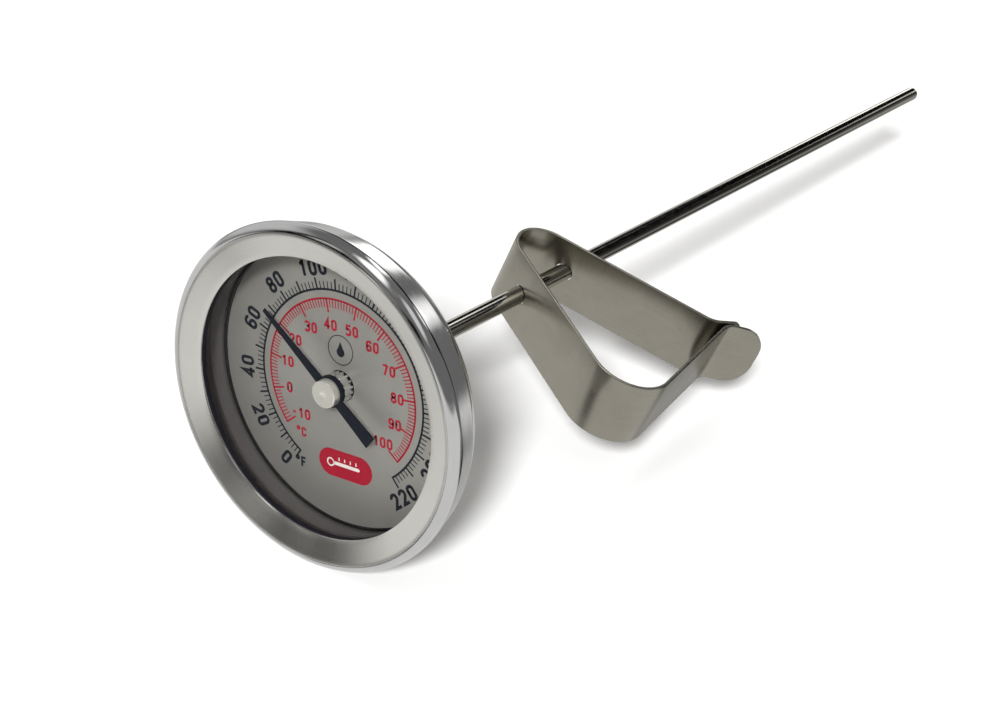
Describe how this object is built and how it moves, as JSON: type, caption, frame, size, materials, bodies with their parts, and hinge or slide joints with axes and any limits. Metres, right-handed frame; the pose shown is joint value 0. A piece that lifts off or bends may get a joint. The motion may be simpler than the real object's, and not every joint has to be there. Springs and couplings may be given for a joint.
{
  "type": "dial thermometer",
  "caption": "Dial thermometer for brewing: round stainless head with a two-scale dial, long thin immersion stem and a spring clip that slides on it.",
  "frame": {"origin": "on the stem axis, at the middle of the hex nut's rear face, where the stem leaves the head", "axes": "+Y runs along the stem towards its tip, -Y is the way the dial faces, +Z is the dial's 12 o'clock and +X its 3 o'clock"},
  "size_m": [0.0585, 0.2181, 0.0542],
  "materials": {
    "bezel_steel": "spun stainless, fine circular grain, polished rim",
    "case_steel": "drawn stainless, satin",
    "stem_steel": "polished stainless tube",
    "clip_steel": "bright rolled spring strip",
    "nut_plating": "bright nickel plate",
    "bushing_chrome": "bright chrome",
    "gasket_rubber": "black moulded rubber",
    "crystal_glass": "clear flat window",
    "dial_silver": "satin silver dial with printed scales",
    "ring_wire": "dull spring wire",
    "pointer_black": "black enamel",
    "boss_aluminium": "turned aluminium",
    "bearing_brass": "turned brass",
    "coil_bimetal": "wound bimetal strip",
    "shaft_steel": "ground steel"
  },
  "bodies": {
    "stem": {"stem_tube": "stem_steel", "stem_tip_plug": "stem_steel", "hex_nut": "nut_plating", "stem_bushing": "bushing_chrome", "upper_bearing": "bearing_brass", "lower_bearing": "bearing_brass", "bimetal_coil": "coil_bimetal", "coil_anchor": "bearing_brass"},
    "head": {"bezel_ring": "bezel_steel", "crystal_gasket": "gasket_rubber", "crystal": "crystal_glass", "case_cup": "case_steel", "dial_plate": "dial_silver", "dial_snap_ring": "ring_wire", "spring_washer": "ring_wire"},
    "pointer": {"pointer": "pointer_black", "pointer_boss": "boss_aluminium", "pointer_collar": "pointer_black", "pointer_shaft": "shaft_steel", "coil_ferrule": "bearing_brass"},
    "clip": {"clip_body": "clip_steel"},
    "clip_jaw": {"clip_jaw_leaf": "clip_steel"}
  },
  "joints": [
    {"name": "recalibration_turn", "type": "hinge", "parent": "stem", "child": "head", "pos_m": [0, 0, 0], "axis": [0, 1, 0], "continuous": true},
    {"name": "pointer_turn", "type": "hinge", "parent": "stem", "child": "pointer", "pos_m": [0, 0, 0], "axis": [0, 1, 0], "range_deg": [-97.38, 194.11], "stiffness_Nm_per_rad": 0.0002},
    {"name": "clip_slide", "type": "slide", "parent": "stem", "child": "clip", "axis": [0, 1, 0], "range_m": [-0.026, 0.145]},
    {"name": "clip_jaw_opening", "type": "hinge", "parent": "clip", "child": "clip_jaw", "pos_m": [0.02483, 0.03152, -0.01211], "axis": [-0.4384, 0, -0.8988], "range_deg": [0, 7], "stiffness_Nm_per_rad": 0.2, "springref_deg": -2.86}
  ]
}
